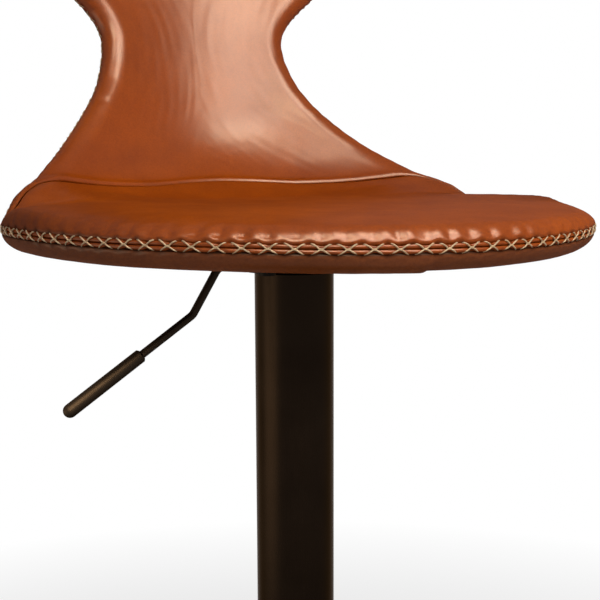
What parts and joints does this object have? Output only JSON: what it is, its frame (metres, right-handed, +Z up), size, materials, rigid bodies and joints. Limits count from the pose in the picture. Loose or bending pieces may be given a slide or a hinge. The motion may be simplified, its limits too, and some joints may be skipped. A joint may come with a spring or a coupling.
{
  "type": "adjustable bar stool",
  "caption": "Gas-lift bar stool with a round base, swivelling column, foot hoop, and a stitched leather shell whose narrow-waisted back rises out of a round seat.",
  "frame": {"origin": "on the floor, on the axis of the column", "axes": "+Z up along the column; the seat faces -Y; the release lever is at -X"},
  "size_m": [0.431, 0.4849, 1.0715],
  "materials": {
    "rubber": "black moulded rubber, matt",
    "ballast": "grey-black primer",
    "bronze_metal": "dark bronze, satin",
    "zinc_steel": "bright zinc-plated steel",
    "black_steel": "black powder coat",
    "rod_chrome": "hard chrome",
    "valve_brass": "brass",
    "black_plastic": "black nylon",
    "plywood": "moulded beech plywood",
    "foam": "polyurethane foam",
    "tan_leather": "tan leather, semi-gloss",
    "dark_leather": "tan leather, shaded tone"
  },
  "bodies": {
    "base": {"floor_ring": "rubber", "base_weight": "ballast", "base_cover": "bronze_metal", "base_hub": "ballast", "hub_collar": "bronze_metal", "stand_tube": "zinc_steel", "guide_bush": "black_plastic", "bearing_lower_race": "zinc_steel", "bearing_balls": "zinc_steel"},
    "spindle": {"bearing_upper_race": "zinc_steel", "piston_rod": "rod_chrome", "rod_clip": "black_steel", "rod_buffer": "rubber", "piston": "zinc_steel"},
    "seat": {"gas_cylinder": "black_steel", "rod_guide": "black_plastic", "taper_socket": "black_steel", "outer_sleeve": "bronze_metal", "sleeve_bush": "black_plastic", "sleeve_glide": "black_plastic", "foot_collar": "bronze_metal", "foot_hoop": "bronze_metal", "foot_screws": "black_steel", "lever_bracket": "black_steel", "lever_pin": "zinc_steel", "seat_plate": "black_steel", "plate_bolts": "black_steel", "plate_washers": "zinc_steel", "t_nuts": "zinc_steel", "shell_board": "plywood", "under_pad": "foam", "seat_foam": "foam", "back_foam": "foam", "outer_cover": "dark_leather", "seat_cover": "tan_leather", "back_cover": "tan_leather"},
    "lever": {"release_lever": "bronze_metal", "lever_grip": "bronze_metal"},
    "valve": {"valve_pin": "valve_brass"}
  },
  "joints": [
    {"name": "seat_swivel", "type": "hinge", "parent": "base", "child": "spindle", "pos_m": [0, 0, 0.026], "axis": [0, 0, 1], "continuous": true},
    {"name": "seat_lift", "type": "slide", "parent": "spindle", "child": "seat", "axis": [0, 0, 1], "range_m": [-0.2, 0]},
    {"name": "lever_pivot", "type": "hinge", "parent": "seat", "child": "lever", "pos_m": [-0.038, 0, 0.7324], "axis": [0, 1, 0], "range_deg": [0, 5], "stiffness_Nm_per_rad": 2, "springref_deg": -11.46},
    {"name": "valve_press", "type": "slide", "parent": "seat", "child": "valve", "axis": [0, 0, 1], "range_m": [-0.0034, 0]}
  ],
  "couplings": [
    {"joint": "valve_press", "follows": "lever_pivot", "m_per_rad": -0.038}
  ]
}
